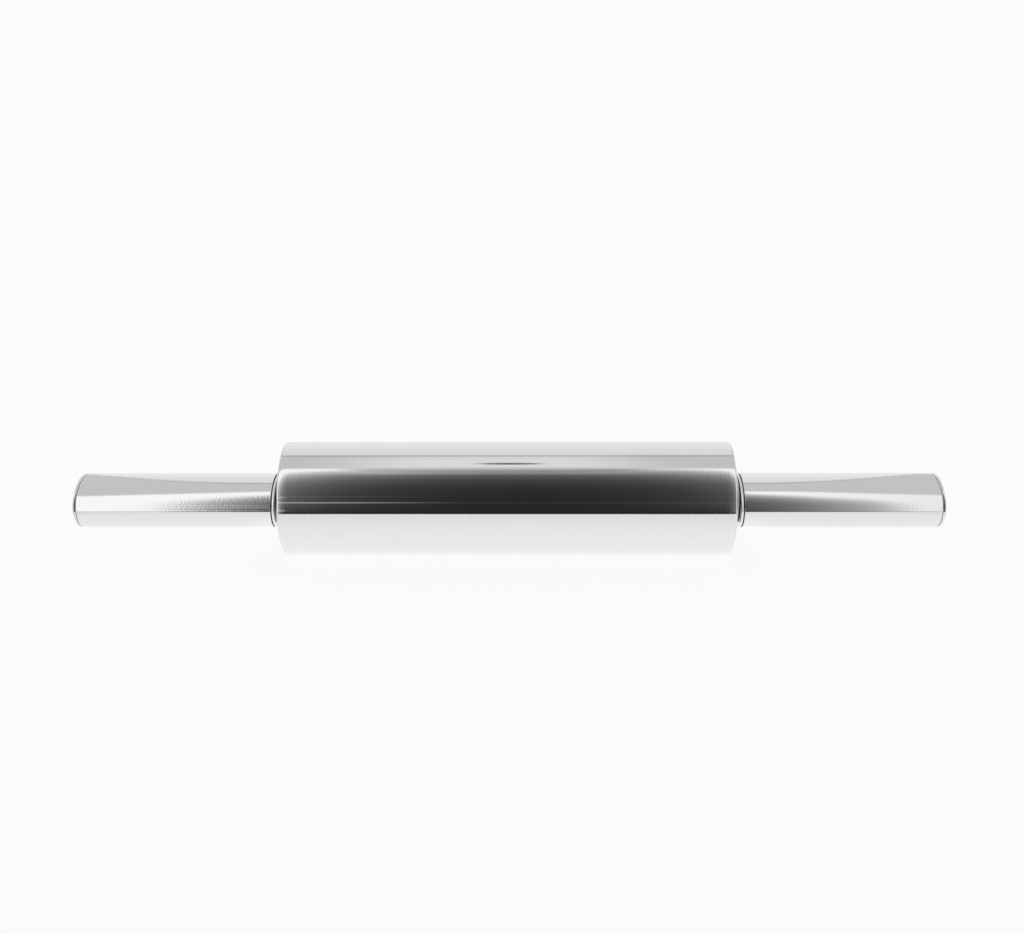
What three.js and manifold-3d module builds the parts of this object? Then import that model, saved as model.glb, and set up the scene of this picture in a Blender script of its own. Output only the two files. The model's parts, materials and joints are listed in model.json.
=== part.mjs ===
// A stainless steel rolling pin: a hollow barrel that turns on two ball bearings,
// and an axle that carries an oval hollow grip at each end.
// Millimetres, +Z up, +X along the pin. The origin is on the table, under the middle of the barrel.

import * as THREE from 'three';
import { mergeVertices } from 'three/addons/utils/BufferGeometryUtils.js';
import Module from 'manifold-3d';

const wasm = await Module();
wasm.setup();

// Barrel
const BARREL_DIAMETER = 63.5;
const BARREL_LENGTH = 246;
const BARREL_WALL = 1.2;
const CAP_SKIRT = 4; // length of a barrel cap that shows beyond the tube
const CAP_SHEET = 1.2;
const CAP_SPIGOT = 8; // length of a barrel cap inside the tube
const EDGE_ALONG = 0.9; // rolled edge of a barrel cap, along the pin
const EDGE_ACROSS = 0.6; // rolled edge of a barrel cap, across the pin

// Grips
const OVERALL_LENGTH = 476.5;
const GRIP_DEPTH = 36; // oval section, front to back
const GRIP_HEIGHT = 28; // oval section, bottom to top
const GRIP_WALL = 1.0;
const GRIP_DROP = 1.0; // the oval's centre lies this far below the axle
const GRIP_GAP = 4.6; // barrel face to grip
const INNER_RIM = 1.3; // rim of the inner cap
const INNER_SEAM = 0.6; // groove between that rim and the grip tube
const INNER_PLUG = 5; // length of the inner cap inside the grip
const END_RIM = 1.4; // rim of the end cap
const END_SEAM = 0.4; // groove between that rim and the grip tube
const END_SKIRT = 5; // length of the end cap inside the grip
const END_SHEET = 1.4;
const SEAM_DEPTH = 0.5; // depth of both grooves
const RIM_CHAMFER = 0.3;

// Axle and what is clamped on it
const AXLE_DIAMETER = 8;
const AXLE_TIP = 3; // thread left standing beyond the nut
const AXLE_CHAMFER = 0.8;
const SPACER_WALL = 1.8;
const SLEEVE_WALL = 2.35;
const WASHER_WIDTH = 4;
const WASHER_THICKNESS = 1.6;
const LOCK_WASHER_WIDTH = 2.2;
const LOCK_WASHER_THICKNESS = 2;
const LOCK_WASHER_SPLIT = 0.35; // radians
const NUT_WALL = 2.5; // bore to flat
const NUT_HEIGHT = 6.5;
const DUST_RING_WIDTH = 6.6;
const DUST_RING_CHAMFER = 0.6;

// Ball bearing
const BALL_DIAMETER = 3.96;
const BALL_COUNT = 7;
const BEARING_WIDTH = 7;
const INNER_RING_WALL = 1.3; // bore to the bottom of the groove
const OUTER_RING_WALL = 1.3; // bottom of the groove to the outside
const GROOVE_DEPTH = 0.9;
const CAGE_WALL = 1.5;
const CAGE_SIDE = 0.6; // cage left on each side of a pocket
const POCKET_PLAY = 0.27;

// Bearing housing
const HOUSING_WALL = 2.7;
const HOUSING_FLANGE_WIDTH = 4.2;
const HOUSING_FLANGE_THICKNESS = 2.5;
const SHOULDER_WIDTH = 1.5;
const SHOULDER_THICKNESS = 3.6;
const CIRCLIP_THICKNESS = 1.2;
const CIRCLIP_WIDTH = 1.7;
const CIRCLIP_BITE = 0.5; // depth of the circlip in its groove
const CIRCLIP_SPLIT = 0.9; // radians
const CIRCLIP_LIP = 2.2; // housing beyond the circlip

// Clearances, each on one side
const SLIP_FIT = 0.1;
const BALL_PLAY = 0.16;
const GROOVE_PLAY = 0.06;
const RUNNING_GAP = 0.4; // dust ring to barrel face, and to grip

// Facets
const BARREL_SIDES = 32;
const AXLE_SIDES = 24;
const OVAL_SIDES = 40;
const BALL_AROUND = 8;
const BALL_ROWS = 6;
const EDGE_STEPS = 4;
const GROOVE_STEPS = 4;

// Barrel, worked out
const barrelRadius = BARREL_DIAMETER / 2;
const faceX = BARREL_LENGTH / 2;
const tubeEndX = faceX - CAP_SKIRT;
const tubeBore = barrelRadius - BARREL_WALL;
const capBackX = faceX - CAP_SHEET;

// Bearing and housing, worked out from the axle outwards
const axleRadius = AXLE_DIAMETER / 2;
const axleBore = axleRadius + SLIP_FIT;
const ballRadius = BALL_DIAMETER / 2;
const grooveRadius = ballRadius + BALL_PLAY;
const pitchRadius = axleBore + INNER_RING_WALL + grooveRadius;
const innerLand = pitchRadius - grooveRadius + GROOVE_DEPTH;
const outerLand = pitchRadius + grooveRadius - GROOVE_DEPTH;
const outerRingRadius = pitchRadius + grooveRadius + OUTER_RING_WALL;
const seatRadius = outerRingRadius + SLIP_FIT;
const hubRadius = seatRadius + HOUSING_WALL;
const shoulderX = faceX - SHOULDER_THICKNESS;
const bearingBackX = shoulderX - BEARING_WIDTH;
const bearingMiddleX = shoulderX - BEARING_WIDTH / 2;
const circlipX = bearingBackX - CIRCLIP_THICKNESS;

// Grips, worked out along the pin
const gripX = faceX + GRIP_GAP;
const innerRimX = gripX + INNER_RIM;
const gripTubeX = innerRimX + INNER_SEAM;
const overallX = OVERALL_LENGTH / 2;
const endRimX = overallX - END_RIM;
const gripTubeEndX = endRimX - END_SEAM;
const washerX = gripTubeX + INNER_PLUG;
const lockWasherX = washerX + WASHER_THICKNESS;
const nutX = lockWasherX + LOCK_WASHER_THICKNESS;
const axleEndX = nutX + NUT_HEIGHT + AXLE_TIP;
const sleeveRadius = axleBore + SLEEVE_WALL;

// Shapes

// Turns a closed section of [x, radius] points, listed clockwise with x to the right, about the pin's axis.
// Radii are measured to the flats, so two turned pieces with as many sides keep their clearance all round.
function turnedRing(section, sides) {
  return turned([...section, section[0]], sides);
}

function turned(section, sides) {
  const flatToCorner = 1 / Math.cos(Math.PI / sides);
  const points = section.map(([x, radius]) => new THREE.Vector2(radius * flatToCorner, x));
  return new THREE.LatheGeometry(points, sides, Math.PI / sides).rotateZ(-Math.PI / 2);
}

function sleeve(x0, x1, bore, outside, sides) {
  return turnedRing([[x0, bore], [x0, outside], [x1, outside], [x1, bore]], sides);
}

// Extrudes an outline drawn across the pin (first number front to back, second up) from x0 to x1.
function extrudedAlong(shape, x0, x1, chamfer = 0, sides = AXLE_SIDES) {
  const geometry = new THREE.ExtrudeGeometry(shape, {
    depth: x1 - x0 - 2 * chamfer,
    curveSegments: sides / 2, // an arc or ellipse gets two sides for each of these
    bevelEnabled: chamfer > 0,
    bevelThickness: chamfer,
    bevelSize: chamfer,
    bevelOffset: -chamfer,
    bevelSegments: 1,
  });
  const across = new THREE.Vector3(0, 1, 0);
  const up = new THREE.Vector3(0, 0, 1);
  const along = new THREE.Vector3(1, 0, 0);
  geometry.applyMatrix4(new THREE.Matrix4().makeBasis(across, up, along));
  return geometry.translate(x0 + chamfer, 0, 0);
}

// The grip's oval, drawn in by an inset from the outside of the grip.
function oval(inset, Path = THREE.Shape) {
  const path = new Path();
  path.absellipse(0, -GRIP_DROP, GRIP_DEPTH / 2 - inset, GRIP_HEIGHT / 2 - inset, 0, 2 * Math.PI);
  return path;
}

function roundHole(radius) {
  const path = new THREE.Path();
  path.absarc(0, 0, radius / Math.cos(Math.PI / AXLE_SIDES), 0, 2 * Math.PI);
  return path;
}

function withHole(shape, hole) {
  shape.holes.push(hole);
  return shape;
}

// A flat ring with a gap in it, open at the top.
function splitRing(bore, outside, split) {
  const start = Math.PI / 2 + split / 2;
  const end = Math.PI / 2 - split / 2 + 2 * Math.PI;
  const shape = new THREE.Shape();
  shape.absarc(0, 0, outside, start, end);
  shape.absarc(0, 0, bore, end, start, true);
  return shape;
}

// A groove's round stretch, from one land to the other, as seen across the bearing.
function grooveArc(fromAngle, toAngle) {
  const points = [];
  for (let step = 0; step <= GROOVE_STEPS; step += 1) {
    const angle = fromAngle + ((toAngle - fromAngle) * step) / GROOVE_STEPS;
    const x = bearingMiddleX + grooveRadius * Math.sin(angle);
    points.push([x, pitchRadius + grooveRadius * Math.cos(angle)]);
  }
  return points;
}

// Booleans

function toSolid(geometry) {
  const bare = geometry.clone();
  bare.deleteAttribute('normal');
  bare.deleteAttribute('uv');
  const merged = mergeVertices(bare, 1e-4);
  const mesh = new wasm.Mesh({
    numProp: 3,
    vertProperties: new Float32Array(merged.attributes.position.array),
    triVerts: new Uint32Array(merged.index.array),
  });
  mesh.merge();
  return new wasm.Manifold(mesh);
}

function toGeometry(solid) {
  const mesh = solid.getMesh();
  const geometry = new THREE.BufferGeometry();
  geometry.setAttribute('position', new THREE.BufferAttribute(mesh.vertProperties, 3));
  geometry.setIndex(new THREE.BufferAttribute(mesh.triVerts, 1));
  geometry.computeVertexNormals();
  return geometry;
}

// Finishes

const polishedSteel = { color: 0xd4d5d6, roughness: 0.16, metalness: 1 };
const brushedSteel = { color: 0xcfd0d0, roughness: 0.24, metalness: 1 };
const machinedSteel = { color: 0xb4b6b8, roughness: 0.38, metalness: 1 };
const bearingSteel = { color: 0xc2c4c6, roughness: 0.2, metalness: 1 };
const springSteel = { color: 0x4c4d4f, roughness: 0.5, metalness: 0.9 };
const cageBrass = { color: 0xb58d4a, roughness: 0.4, metalness: 1 };
const naturalNylon = { color: 0xdddbcf, roughness: 0.55, metalness: 0 };

function piece(name, geometry, finish) {
  const mesh = new THREE.Mesh(geometry, new THREE.MeshStandardMaterial(finish));
  mesh.name = name;
  return mesh;
}

// Barrel pieces

function barrelTube() {
  const geometry = sleeve(-tubeEndX, tubeEndX, tubeBore, barrelRadius, BARREL_SIDES);
  return piece('barrel_tube', geometry, brushedSteel);
}

// A pressed cup: a spigot inside the tube, a skirt flush with it, a rolled edge and a face with a hole for the hub.
function barrelCap(side) {
  const spigotX = tubeEndX - CAP_SPIGOT;
  const spigotRadius = tubeBore - SLIP_FIT;
  const spigotBore = spigotRadius - CAP_SHEET;
  const rolledEdge = [];
  for (let step = 0; step <= EDGE_STEPS; step += 1) {
    const angle = (step / EDGE_STEPS) * (Math.PI / 2);
    const x = faceX - EDGE_ALONG + EDGE_ALONG * Math.sin(angle);
    rolledEdge.push([x, barrelRadius - EDGE_ACROSS + EDGE_ACROSS * Math.cos(angle)]);
  }
  const section = [
    [spigotX, spigotBore],
    [spigotX, spigotRadius],
    [tubeEndX, spigotRadius],
    [tubeEndX, barrelRadius],
    ...rolledEdge,
    [faceX, hubRadius + SLIP_FIT],
    [capBackX, hubRadius + SLIP_FIT],
    [capBackX, spigotBore],
  ];
  return piece(`${side}_barrel_cap`, turnedRing(section, BARREL_SIDES), brushedSteel);
}

// A hub with a flange behind the cap's face, a seat for the bearing, a shoulder and a circlip groove.
function bearingHousing(side) {
  const grooveBackX = circlipX - GROOVE_PLAY;
  const grooveFrontX = bearingBackX + GROOVE_PLAY;
  const grooveBottom = seatRadius + CIRCLIP_BITE + SLIP_FIT;
  const housingX = grooveBackX - CIRCLIP_LIP;
  const flangeX = capBackX - HOUSING_FLANGE_THICKNESS;
  const shoulderBore = outerRingRadius - SHOULDER_WIDTH;
  const section = [
    [housingX, seatRadius],
    [housingX, hubRadius],
    [flangeX, hubRadius],
    [flangeX, hubRadius + HOUSING_FLANGE_WIDTH],
    [capBackX, hubRadius + HOUSING_FLANGE_WIDTH],
    [capBackX, hubRadius],
    [faceX, hubRadius],
    [faceX, shoulderBore],
    [shoulderX, shoulderBore],
    [shoulderX, seatRadius],
    [grooveFrontX, seatRadius],
    [grooveFrontX, grooveBottom],
    [grooveBackX, grooveBottom],
    [grooveBackX, seatRadius],
  ];
  return piece(`${side}_bearing_housing`, turnedRing(section, BARREL_SIDES), machinedSteel);
}

function circlip(side) {
  const outside = seatRadius + CIRCLIP_BITE;
  const shape = splitRing(outside - CIRCLIP_BITE - CIRCLIP_WIDTH, outside, CIRCLIP_SPLIT);
  return piece(`${side}_circlip`, extrudedAlong(shape, circlipX, bearingBackX), springSteel);
}

// Bearing pieces

function outerRing(side) {
  const halfAngle = Math.acos((outerLand - pitchRadius) / grooveRadius);
  const section = [
    [bearingBackX, outerLand],
    [bearingBackX, outerRingRadius],
    [shoulderX, outerRingRadius],
    [shoulderX, outerLand],
    ...grooveArc(halfAngle, -halfAngle),
  ];
  return piece(`${side}_bearing_outer_ring`, turnedRing(section, BARREL_SIDES), bearingSteel);
}

function innerRing(side) {
  const halfAngle = Math.acos((pitchRadius - innerLand) / grooveRadius);
  const section = [
    [bearingBackX, axleBore],
    [bearingBackX, innerLand],
    ...grooveArc(Math.PI + halfAngle, Math.PI - halfAngle),
    [shoulderX, innerLand],
    [shoulderX, axleBore],
  ];
  return piece(`${side}_bearing_inner_ring`, turnedRing(section, AXLE_SIDES), bearingSteel);
}

function ballPlace(index) {
  const angle = (2 * Math.PI * index) / BALL_COUNT;
  return new THREE.Vector3(bearingMiddleX, pitchRadius * Math.sin(angle), pitchRadius * Math.cos(angle));
}

function ball(side, index) {
  const mesh = piece(
    `${side}_bearing_ball_${index + 1}`,
    new THREE.SphereGeometry(ballRadius, BALL_AROUND, BALL_ROWS),
    bearingSteel,
  );
  mesh.position.copy(ballPlace(index));
  return mesh;
}

// A ring round the pitch circle with a round pocket for each ball.
function cage(side) {
  const pocketRadius = ballRadius + POCKET_PLAY;
  const halfWidth = pocketRadius + CAGE_SIDE;
  const ring = sleeve(
    bearingMiddleX - halfWidth,
    bearingMiddleX + halfWidth,
    pitchRadius - CAGE_WALL / 2,
    pitchRadius + CAGE_WALL / 2,
    AXLE_SIDES,
  );
  let solid = toSolid(ring);
  for (let index = 0; index < BALL_COUNT; index += 1) {
    const place = ballPlace(index);
    const pocket = new THREE.SphereGeometry(pocketRadius, BALL_AROUND, BALL_ROWS);
    solid = solid.subtract(toSolid(pocket.translate(place.x, place.y, place.z)));
  }
  return piece(`${side}_bearing_cage`, toGeometry(solid), cageBrass);
}

// Axle pieces

function axle() {
  const chamferX = axleEndX - AXLE_CHAMFER;
  const tipRadius = axleRadius - AXLE_CHAMFER;
  const section = [
    [-axleEndX, 0],
    [-axleEndX, tipRadius],
    [-chamferX, axleRadius],
    [chamferX, axleRadius],
    [axleEndX, tipRadius],
    [axleEndX, 0],
  ];
  return piece('axle', turned(section, AXLE_SIDES), machinedSteel);
}

function axleSpacer() {
  const geometry = sleeve(-bearingBackX, bearingBackX, axleBore, axleBore + SPACER_WALL, AXLE_SIDES);
  return piece('axle_spacer_tube', geometry, machinedSteel);
}

function neckSleeve(side) {
  const geometry = sleeve(shoulderX, gripX, axleBore, sleeveRadius, AXLE_SIDES);
  return piece(`${side}_neck_sleeve`, geometry, machinedSteel);
}

// A nylon ring on the neck sleeve, which keeps flour out of the bearing.
function dustRing(side) {
  const bore = sleeveRadius + SLIP_FIT;
  const outside = bore + DUST_RING_WIDTH;
  const x0 = faceX + RUNNING_GAP;
  const x1 = gripX - RUNNING_GAP;
  const section = [
    [x0, bore],
    [x0, outside - DUST_RING_CHAMFER],
    [x0 + DUST_RING_CHAMFER, outside],
    [x1 - DUST_RING_CHAMFER, outside],
    [x1, outside - DUST_RING_CHAMFER],
    [x1, bore],
  ];
  return piece(`${side}_dust_ring`, turnedRing(section, AXLE_SIDES), naturalNylon);
}

function flatWasher(side) {
  const outside = axleBore + WASHER_WIDTH;
  const geometry = sleeve(washerX, lockWasherX, axleBore, outside, AXLE_SIDES);
  return piece(`${side}_flat_washer`, geometry, machinedSteel);
}

function lockWasher(side) {
  const bore = axleBore / Math.cos(Math.PI / AXLE_SIDES);
  const shape = splitRing(bore, bore + LOCK_WASHER_WIDTH, LOCK_WASHER_SPLIT);
  return piece(`${side}_lock_washer`, extrudedAlong(shape, lockWasherX, nutX), springSteel);
}

function hexNut(side) {
  const cornerRadius = (axleRadius + NUT_WALL) / Math.cos(Math.PI / 6);
  const corners = [];
  for (let corner = 0; corner < 6; corner += 1) {
    const angle = (corner * Math.PI) / 3;
    corners.push(new THREE.Vector2(cornerRadius * Math.cos(angle), cornerRadius * Math.sin(angle)));
  }
  const shape = withHole(new THREE.Shape(corners), roundHole(axleBore));
  return piece(`${side}_hex_nut`, extrudedAlong(shape, nutX, nutX + NUT_HEIGHT), machinedSteel);
}

// Grip pieces

function handleTube(side) {
  const shape = withHole(oval(0), oval(GRIP_WALL, THREE.Path));
  const geometry = extrudedAlong(shape, gripTubeX, gripTubeEndX, 0, OVAL_SIDES);
  return piece(`${side}_handle_tube`, geometry, polishedSteel);
}

// A rim as large as the grip, a shoulder that the tube meets, and a solid plug inside it, bored for the axle.
function handleInnerCap(side) {
  const plugInset = GRIP_WALL + SLIP_FIT;
  const rimMiddleX = gripX + INNER_RIM / 2;
  const rim = extrudedAlong(oval(0), gripX, innerRimX, RIM_CHAMFER, OVAL_SIDES);
  const shoulder = extrudedAlong(oval(SEAM_DEPTH), rimMiddleX, gripTubeX, 0, OVAL_SIDES);
  const plug = extrudedAlong(oval(plugInset), rimMiddleX, washerX, 0, OVAL_SIDES);
  const past = INNER_RIM;
  const bore = turned([[gripX - past, 0], [gripX - past, axleBore], [washerX + past, axleBore],
    [washerX + past, 0]], AXLE_SIDES);
  const solid = toSolid(rim).add(toSolid(shoulder)).add(toSolid(plug)).subtract(toSolid(bore));
  return piece(`${side}_handle_inner_cap`, toGeometry(solid), polishedSteel);
}

// A rim as large as the grip, a shoulder that the tube meets, and a skirt inside it.
function handleEndCap(side) {
  const skirtInset = GRIP_WALL + SLIP_FIT;
  const skirtX = gripTubeEndX - END_SKIRT;
  const rimMiddleX = endRimX + END_RIM / 2;
  const hollow = skirtInset + END_SHEET;
  const shoulderShape = withHole(oval(SEAM_DEPTH), oval(hollow, THREE.Path));
  const skirtShape = withHole(oval(skirtInset), oval(hollow, THREE.Path));
  const rim = extrudedAlong(oval(0), endRimX, overallX, RIM_CHAMFER, OVAL_SIDES);
  const shoulder = extrudedAlong(shoulderShape, gripTubeEndX, rimMiddleX, 0, OVAL_SIDES);
  const skirt = extrudedAlong(skirtShape, skirtX, rimMiddleX, 0, OVAL_SIDES);
  const solid = toSolid(rim).add(toSolid(shoulder)).add(toSolid(skirt));
  return piece(`${side}_handle_end_cap`, toGeometry(solid), polishedSteel);
}

// Assembly

function halfPin(side) {
  const half = new THREE.Group();
  half.add(
    barrelCap(side),
    bearingHousing(side),
    circlip(side),
    outerRing(side),
    innerRing(side),
    cage(side),
    neckSleeve(side),
    dustRing(side),
    handleInnerCap(side),
    flatWasher(side),
    lockWasher(side),
    hexNut(side),
    handleTube(side),
    handleEndCap(side),
  );
  for (let index = 0; index < BALL_COUNT; index += 1) {
    half.add(ball(side, index));
  }
  return half;
}

const rightHalf = halfPin('right');
const leftHalf = halfPin('left');
leftHalf.rotation.z = Math.PI;

const rollingPin = new THREE.Group();
rollingPin.add(barrelTube(), axle(), axleSpacer(), rightHalf, leftHalf);
rollingPin.position.z = barrelRadius;

export default rollingPin;
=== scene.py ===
"""A stainless steel rolling pin: smooth, finished pieces over its solids, in a plain white studio."""

import json
from collections import namedtuple
from math import atan, cos, degrees, pi, radians, sin, tan

import bpy
from bpy.props import FloatProperty, FloatVectorProperty, IntProperty, PointerProperty
from mathutils import Matrix, Vector


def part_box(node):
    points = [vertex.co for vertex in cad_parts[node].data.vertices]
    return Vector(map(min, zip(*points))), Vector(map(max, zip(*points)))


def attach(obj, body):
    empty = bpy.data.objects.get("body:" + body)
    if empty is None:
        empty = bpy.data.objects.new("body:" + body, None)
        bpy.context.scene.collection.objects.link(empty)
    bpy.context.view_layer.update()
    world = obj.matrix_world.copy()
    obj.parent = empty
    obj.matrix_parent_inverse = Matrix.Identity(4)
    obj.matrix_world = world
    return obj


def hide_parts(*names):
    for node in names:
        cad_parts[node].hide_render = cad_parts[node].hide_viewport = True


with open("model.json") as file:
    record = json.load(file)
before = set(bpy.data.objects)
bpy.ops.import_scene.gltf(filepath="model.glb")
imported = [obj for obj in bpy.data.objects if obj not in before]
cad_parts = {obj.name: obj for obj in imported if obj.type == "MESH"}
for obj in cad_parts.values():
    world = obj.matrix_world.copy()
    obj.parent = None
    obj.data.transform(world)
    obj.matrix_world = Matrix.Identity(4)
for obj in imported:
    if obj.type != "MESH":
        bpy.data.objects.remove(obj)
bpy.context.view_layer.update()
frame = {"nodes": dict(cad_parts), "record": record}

bl_info = {
    "name": "Rolling pin",
    "version": (1, 0, 0),
    "blender": (4, 5, 0),
    "location": "View3D > Sidebar > Rolling pin",
    "description": "Models and finishes the pieces of a stainless steel rolling pin",
    "category": "Object",
}

# Places along and across the pin, read from its solids. Its right half is measured, and its left half is a
# copy of that, turned half round.
TUBE_LOW, TUBE_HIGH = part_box("barrel_tube")
CAP_LOW, CAP_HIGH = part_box("right_barrel_cap")
HOUSING_LOW, HOUSING_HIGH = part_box("right_bearing_housing")
CIRCLIP_LOW, CIRCLIP_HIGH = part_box("right_circlip")
BEARING_LOW, BEARING_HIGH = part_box("right_bearing_outer_ring")
SEAL_LOW, SEAL_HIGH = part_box("right_dust_ring")
NECK_LOW, NECK_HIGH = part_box("right_neck_sleeve")
COLLAR_LOW, COLLAR_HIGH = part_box("right_handle_inner_cap")
GRIP_LOW, GRIP_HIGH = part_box("right_handle_tube")
END_LOW, END_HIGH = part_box("right_handle_end_cap")
AXLE_LOW, AXLE_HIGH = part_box("axle")

AXIS_Z = (TUBE_LOW.z + TUBE_HIGH.z) / 2
GRIP_Z = (GRIP_LOW.z + GRIP_HIGH.z) / 2
BARREL_RADIUS = (TUBE_HIGH.z - TUBE_LOW.z) / 2
GRIP_HALF_DEPTH = (GRIP_HIGH.y - GRIP_LOW.y) / 2
GRIP_HALF_HEIGHT = (GRIP_HIGH.z - GRIP_LOW.z) / 2
FLANGE_RADIUS = (HOUSING_HIGH.z - HOUSING_LOW.z) / 2
BEARING_RADIUS = (BEARING_HIGH.z - BEARING_LOW.z) / 2
SEAL_RADIUS = (SEAL_HIGH.z - SEAL_LOW.z) / 2
NECK_RADIUS = (NECK_HIGH.z - NECK_LOW.z) / 2
AXLE_RADIUS = (AXLE_HIGH.z - AXLE_LOW.z) / 2
CIRCLIP_RADIUS = AXIS_Z - CIRCLIP_LOW.z

# Photograph: its frame, and where the middle of the pin's axis lies in it, in pixels.
PHOTO_WIDTH = 1024
PHOTO_HEIGHT = 934
PIN_PIXEL_X = 507.5
PIN_PIXEL_Y = 498.5

# Points closer than this are one, edges sharper than this stay sharp, and the crown falls by this power.
MERGE_DISTANCE = 1e-6
SMOOTH_ANGLE = radians(35)
CROWN_POWER = 3


# Sizes and colours that a user would change

class BarrelSizes(bpy.types.PropertyGroup):
    """Sizes of the barrel, its two covers and the hubs behind them."""

    sides: IntProperty(name="Sides", description="Facets round the barrel", default=256, min=32)
    wall: FloatProperty(name="Wall", description="Wall of the tube", default=0.0012, unit="LENGTH")
    sheet: FloatProperty(name="Sheet", description="Sheet of a cover", default=0.0012, unit="LENGTH")
    slip: FloatProperty(name="Slip", description="Gap of a slip fit", default=0.0001, unit="LENGTH")
    edge_along: FloatProperty(
        name="Edge along", description="Rolled edge, along the pin", default=0.0009, unit="LENGTH")
    edge_across: FloatProperty(
        name="Edge across", description="Rolled edge, across the pin", default=0.0006, unit="LENGTH")
    edge_steps: IntProperty(name="Edge steps", description="Facets of the rolled edge", default=12, min=4)
    crown: FloatProperty(
        name="Crown", description="Fall of the barrel towards its faces", default=0.0001, unit="LENGTH")
    crown_length: FloatProperty(
        name="Crown length", description="Part of the barrel that falls, from a face", default=0.0065,
        unit="LENGTH")
    crown_steps: IntProperty(name="Crown steps", description="Facets of the crown", default=16, min=4)
    face_hold: FloatProperty(
        name="Face hold", description="Flat strip that keeps a face flat beside its edge", default=0.0003,
        unit="LENGTH")
    seam: FloatProperty(
        name="Seam", description="Broken edge on each side of a seam", default=0.00005, unit="LENGTH")
    hole_edge: FloatProperty(
        name="Hole edge", description="Broken edge of a cover's hole", default=0.0003, unit="LENGTH")
    flange_width: FloatProperty(
        name="Flange width", description="Hub flange beyond the hub", default=0.0042, unit="LENGTH")
    flange_thickness: FloatProperty(
        name="Flange thickness", description="Hub flange behind the cover", default=0.0025, unit="LENGTH")
    shoulder: FloatProperty(
        name="Shoulder", description="Hub shoulder over the bearing", default=0.0015, unit="LENGTH")


class GripSizes(bpy.types.PropertyGroup):
    """Sizes of the oval grips, their caps and the seals beside them."""

    sides: IntProperty(name="Sides", description="Facets round a grip", default=192, min=24)
    wall: FloatProperty(name="Wall", description="Wall of a grip", default=0.001, unit="LENGTH")
    slip: FloatProperty(name="Slip", description="Gap of a slip fit", default=0.0001, unit="LENGTH")
    sheet: FloatProperty(name="Sheet", description="Sheet of an end cap", default=0.0014, unit="LENGTH")
    rim_round: FloatProperty(
        name="Rim round", description="Rounding of a collar's rim next to the barrel", default=0.0002,
        unit="LENGTH")
    rim_along: FloatProperty(
        name="Rim along", description="Rounding of a collar's rim next to the grip, along the pin",
        default=0.00105, unit="LENGTH")
    rim_across: FloatProperty(
        name="Rim across", description="Rounding of a collar's rim next to the grip, across the pin",
        default=0.00027, unit="LENGTH")
    end_along: FloatProperty(
        name="End along", description="Rounding of an end cap, along the pin", default=0.0005,
        unit="LENGTH")
    end_across: FloatProperty(
        name="End across", description="Rounding of an end cap, across the pin", default=0.0004,
        unit="LENGTH")
    end_flare: FloatProperty(
        name="End flare", description="Growth of an end cap's rim towards its face", default=0.00012,
        unit="LENGTH")
    round_steps: IntProperty(name="Round steps", description="Facets of a rounded rim", default=6, min=2)
    edge: FloatProperty(
        name="Edge", description="Broken edge beside a groove", default=0.00015, unit="LENGTH")
    face_hold: FloatProperty(
        name="Face hold", description="Flat strip that keeps a face flat beside its edge", default=0.0003,
        unit="LENGTH")
    inner_seam: FloatProperty(
        name="Inner seam", description="Groove between a collar's rim and the grip", default=0.0006,
        unit="LENGTH")
    end_seam: FloatProperty(
        name="End seam", description="Groove between an end cap's rim and the grip", default=0.0004,
        unit="LENGTH")
    seam_depth: FloatProperty(
        name="Seam depth", description="Depth of both grooves", default=0.0005, unit="LENGTH")
    seal_round: FloatProperty(
        name="Seal round", description="Rounding of a seal's edges", default=0.0008, unit="LENGTH")


class FinishColours(bpy.types.PropertyGroup):
    """Colours of the finishes, as linear values."""

    barrel: FloatVectorProperty(
        name="Barrel", description="Polished steel of the barrel", subtype="COLOR",
        default=(0.80, 0.798, 0.788))
    grip: FloatVectorProperty(
        name="Grip", description="Polished steel of the grips", subtype="COLOR",
        default=(0.82, 0.818, 0.809))
    machined: FloatVectorProperty(
        name="Machined", description="Turned steel", subtype="COLOR", default=(0.50, 0.50, 0.505))
    bearing: FloatVectorProperty(
        name="Bearing", description="Ground bearing steel", subtype="COLOR", default=(0.60, 0.61, 0.62))
    spring: FloatVectorProperty(
        name="Spring", description="Blued spring steel", subtype="COLOR", default=(0.10, 0.10, 0.115))
    brass: FloatVectorProperty(
        name="Brass", description="Ball cages", subtype="COLOR", default=(0.60, 0.42, 0.17))
    nylon: FloatVectorProperty(
        name="Nylon", description="Seals", subtype="COLOR", default=(0.84, 0.83, 0.78))
    # Painted shade: a near-black steel colour laid into the grooves of the grips, where shade falls between
    # the rims and the grip
    painted_groove_shade: FloatVectorProperty(
        name="Painted groove shade", description="Dark film in the grooves of the grips", subtype="COLOR",
        default=(0.05, 0.05, 0.048))
    floor: FloatVectorProperty(
        name="Floor", description="Studio floor", subtype="COLOR", default=(0.95, 0.95, 0.95))


class StudioSizes(bpy.types.PropertyGroup):
    """The camera's place, the floor and the levels of the light."""

    elevation: FloatProperty(
        name="Elevation", description="Camera above the pin's axis", default=radians(31.2), subtype="ANGLE")
    azimuth: FloatProperty(
        name="Azimuth", description="Camera towards the right grip", default=radians(1.25), subtype="ANGLE")
    distance: FloatProperty(
        name="Distance", description="Camera to the middle of the pin", default=0.6436, unit="LENGTH")
    lens: FloatProperty(
        name="Lens", description="Focal length in millimetres", default=40.43, unit="CAMERA")
    floor_width: FloatProperty(
        name="Floor width", description="Width of the floor", default=60.0, unit="LENGTH")
    floor_drop: FloatProperty(
        name="Floor drop", description="Floor below the pin", default=0.0001, unit="LENGTH")
    white: FloatProperty(name="White", description="Level of the white floor", default=1.0)
    sky: FloatProperty(name="Sky", description="Level of the background above the floor", default=0.968)
    evenness: FloatProperty(
        name="Evenness", description="Share of the floor that shows no shade", default=0.91,
        subtype="FACTOR")


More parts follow.
